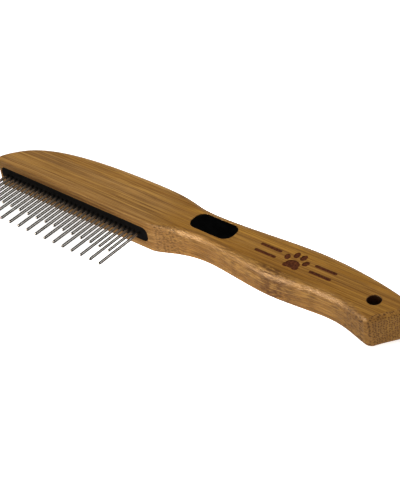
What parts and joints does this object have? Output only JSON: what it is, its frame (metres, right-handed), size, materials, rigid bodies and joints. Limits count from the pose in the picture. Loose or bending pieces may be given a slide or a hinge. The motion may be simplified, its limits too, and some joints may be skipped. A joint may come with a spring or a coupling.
{
  "type": "rotating-pin grooming comb",
  "caption": "Pet grooming comb: long and short round-tipped steel pins in turn, each free to spin in a plastic carrier let into a one-piece bamboo body with a thumb grip and hang hole.",
  "frame": {"origin": "middle of the overall box in plan, on the lower broad face, which lies on the table", "axes": "+X from the nose of the head to the butt of the handle, +Y from the pin tips to the back of the comb, +Z out of the broad face that carries the thumb grip"},
  "size_m": [0.219, 0.0508, 0.015],
  "materials": {
    "bamboo": "satin varnish",
    "carrier_plastic": "moulded satin black",
    "grip_rubber": "matt black",
    "pin_steel": "drawn and polished"
  },
  "bodies": {
    "comb_body": {"bamboo_body": "bamboo", "pin_carrier": "carrier_plastic", "pin_retainer": "carrier_plastic", "thumb_grip": "grip_rubber"},
    "pin_01": {"pin_01": "pin_steel"},
    "pin_02": {"pin_02": "pin_steel"},
    "pin_03": {"pin_03": "pin_steel"},
    "pin_04": {"pin_04": "pin_steel"},
    "pin_05": {"pin_05": "pin_steel"},
    "pin_06": {"pin_06": "pin_steel"},
    "pin_07": {"pin_07": "pin_steel"},
    "pin_08": {"pin_08": "pin_steel"},
    "pin_09": {"pin_09": "pin_steel"},
    "pin_10": {"pin_10": "pin_steel"},
    "pin_11": {"pin_11": "pin_steel"},
    "pin_12": {"pin_12": "pin_steel"},
    "pin_13": {"pin_13": "pin_steel"},
    "pin_14": {"pin_14": "pin_steel"},
    "pin_15": {"pin_15": "pin_steel"},
    "pin_16": {"pin_16": "pin_steel"},
    "pin_17": {"pin_17": "pin_steel"},
    "pin_18": {"pin_18": "pin_steel"},
    "pin_19": {"pin_19": "pin_steel"},
    "pin_20": {"pin_20": "pin_steel"},
    "pin_21": {"pin_21": "pin_steel"},
    "pin_22": {"pin_22": "pin_steel"},
    "pin_23": {"pin_23": "pin_steel"},
    "pin_24": {"pin_24": "pin_steel"},
    "pin_25": {"pin_25": "pin_steel"},
    "pin_26": {"pin_26": "pin_steel"},
    "pin_27": {"pin_27": "pin_steel"},
    "pin_28": {"pin_28": "pin_steel"},
    "pin_29": {"pin_29": "pin_steel"},
    "pin_30": {"pin_30": "pin_steel"},
    "pin_31": {"pin_31": "pin_steel"}
  },
  "joints": [
    {"name": "pin_01_spin", "type": "hinge", "parent": "comb_body", "child": "pin_01", "pos_m": [-0.1033, 0, 0.0075], "axis": [0, 1, 0], "continuous": true},
    {"name": "pin_02_spin", "type": "hinge", "parent": "comb_body", "child": "pin_02", "pos_m": [-0.10055, 0, 0.0075], "axis": [0, 1, 0], "continuous": true},
    {"name": "pin_03_spin", "type": "hinge", "parent": "comb_body", "child": "pin_03", "pos_m": [-0.0978, 0, 0.0075], "axis": [0, 1, 0], "continuous": true},
    {"name": "pin_04_spin", "type": "hinge", "parent": "comb_body", "child": "pin_04", "pos_m": [-0.09505, 0, 0.0075], "axis": [0, 1, 0], "continuous": true},
    {"name": "pin_05_spin", "type": "hinge", "parent": "comb_body", "child": "pin_05", "pos_m": [-0.0923, 0, 0.0075], "axis": [0, 1, 0], "continuous": true},
    {"name": "pin_06_spin", "type": "hinge", "parent": "comb_body", "child": "pin_06", "pos_m": [-0.08955, 0, 0.0075], "axis": [0, 1, 0], "continuous": true},
    {"name": "pin_07_spin", "type": "hinge", "parent": "comb_body", "child": "pin_07", "pos_m": [-0.0868, 0, 0.0075], "axis": [0, 1, 0], "continuous": true},
    {"name": "pin_08_spin", "type": "hinge", "parent": "comb_body", "child": "pin_08", "pos_m": [-0.08405, 0, 0.0075], "axis": [0, 1, 0], "continuous": true},
    {"name": "pin_09_spin", "type": "hinge", "parent": "comb_body", "child": "pin_09", "pos_m": [-0.0813, 0, 0.0075], "axis": [0, 1, 0], "continuous": true},
    {"name": "pin_10_spin", "type": "hinge", "parent": "comb_body", "child": "pin_10", "pos_m": [-0.07855, 0, 0.0075], "axis": [0, 1, 0], "continuous": true},
    {"name": "pin_11_spin", "type": "hinge", "parent": "comb_body", "child": "pin_11", "pos_m": [-0.0758, 0, 0.0075], "axis": [0, 1, 0], "continuous": true},
    {"name": "pin_12_spin", "type": "hinge", "parent": "comb_body", "child": "pin_12", "pos_m": [-0.07305, 0, 0.0075], "axis": [0, 1, 0], "continuous": true},
    {"name": "pin_13_spin", "type": "hinge", "parent": "comb_body", "child": "pin_13", "pos_m": [-0.0703, 0, 0.0075], "axis": [0, 1, 0], "continuous": true},
    {"name": "pin_14_spin", "type": "hinge", "parent": "comb_body", "child": "pin_14", "pos_m": [-0.06755, 0, 0.0075], "axis": [0, 1, 0], "continuous": true},
    {"name": "pin_15_spin", "type": "hinge", "parent": "comb_body", "child": "pin_15", "pos_m": [-0.0648, 0, 0.0075], "axis": [0, 1, 0], "continuous": true},
    {"name": "pin_16_spin", "type": "hinge", "parent": "comb_body", "child": "pin_16", "pos_m": [-0.06205, 0, 0.0075], "axis": [0, 1, 0], "continuous": true},
    {"name": "pin_17_spin", "type": "hinge", "parent": "comb_body", "child": "pin_17", "pos_m": [-0.0593, 0, 0.0075], "axis": [0, 1, 0], "continuous": true},
    {"name": "pin_18_spin", "type": "hinge", "parent": "comb_body", "child": "pin_18", "pos_m": [-0.05655, 0, 0.0075], "axis": [0, 1, 0], "continuous": true},
    {"name": "pin_19_spin", "type": "hinge", "parent": "comb_body", "child": "pin_19", "pos_m": [-0.0538, 0, 0.0075], "axis": [0, 1, 0], "continuous": true},
    {"name": "pin_20_spin", "type": "hinge", "parent": "comb_body", "child": "pin_20", "pos_m": [-0.05105, 0, 0.0075], "axis": [0, 1, 0], "continuous": true},
    {"name": "pin_21_spin", "type": "hinge", "parent": "comb_body", "child": "pin_21", "pos_m": [-0.0483, 0, 0.0075], "axis": [0, 1, 0], "continuous": true},
    {"name": "pin_22_spin", "type": "hinge", "parent": "comb_body", "child": "pin_22", "pos_m": [-0.04555, 0, 0.0075], "axis": [0, 1, 0], "continuous": true},
    {"name": "pin_23_spin", "type": "hinge", "parent": "comb_body", "child": "pin_23", "pos_m": [-0.0428, 0, 0.0075], "axis": [0, 1, 0], "continuous": true},
    {"name": "pin_24_spin", "type": "hinge", "parent": "comb_body", "child": "pin_24", "pos_m": [-0.04005, 0, 0.0075], "axis": [0, 1, 0], "continuous": true},
    {"name": "pin_25_spin", "type": "hinge", "parent": "comb_body", "child": "pin_25", "pos_m": [-0.0373, 0, 0.0075], "axis": [0, 1, 0], "continuous": true},
    {"name": "pin_26_spin", "type": "hinge", "parent": "comb_body", "child": "pin_26", "pos_m": [-0.03455, 0, 0.0075], "axis": [0, 1, 0], "continuous": true},
    {"name": "pin_27_spin", "type": "hinge", "parent": "comb_body", "child": "pin_27", "pos_m": [-0.0318, 0, 0.0075], "axis": [0, 1, 0], "continuous": true},
    {"name": "pin_28_spin", "type": "hinge", "parent": "comb_body", "child": "pin_28", "pos_m": [-0.02905, 0, 0.0075], "axis": [0, 1, 0], "continuous": true},
    {"name": "pin_29_spin", "type": "hinge", "parent": "comb_body", "child": "pin_29", "pos_m": [-0.0263, 0, 0.0075], "axis": [0, 1, 0], "continuous": true},
    {"name": "pin_30_spin", "type": "hinge", "parent": "comb_body", "child": "pin_30", "pos_m": [-0.02355, 0, 0.0075], "axis": [0, 1, 0], "continuous": true},
    {"name": "pin_31_spin", "type": "hinge", "parent": "comb_body", "child": "pin_31", "pos_m": [-0.0208, 0, 0.0075], "axis": [0, 1, 0], "continuous": true}
  ]
}
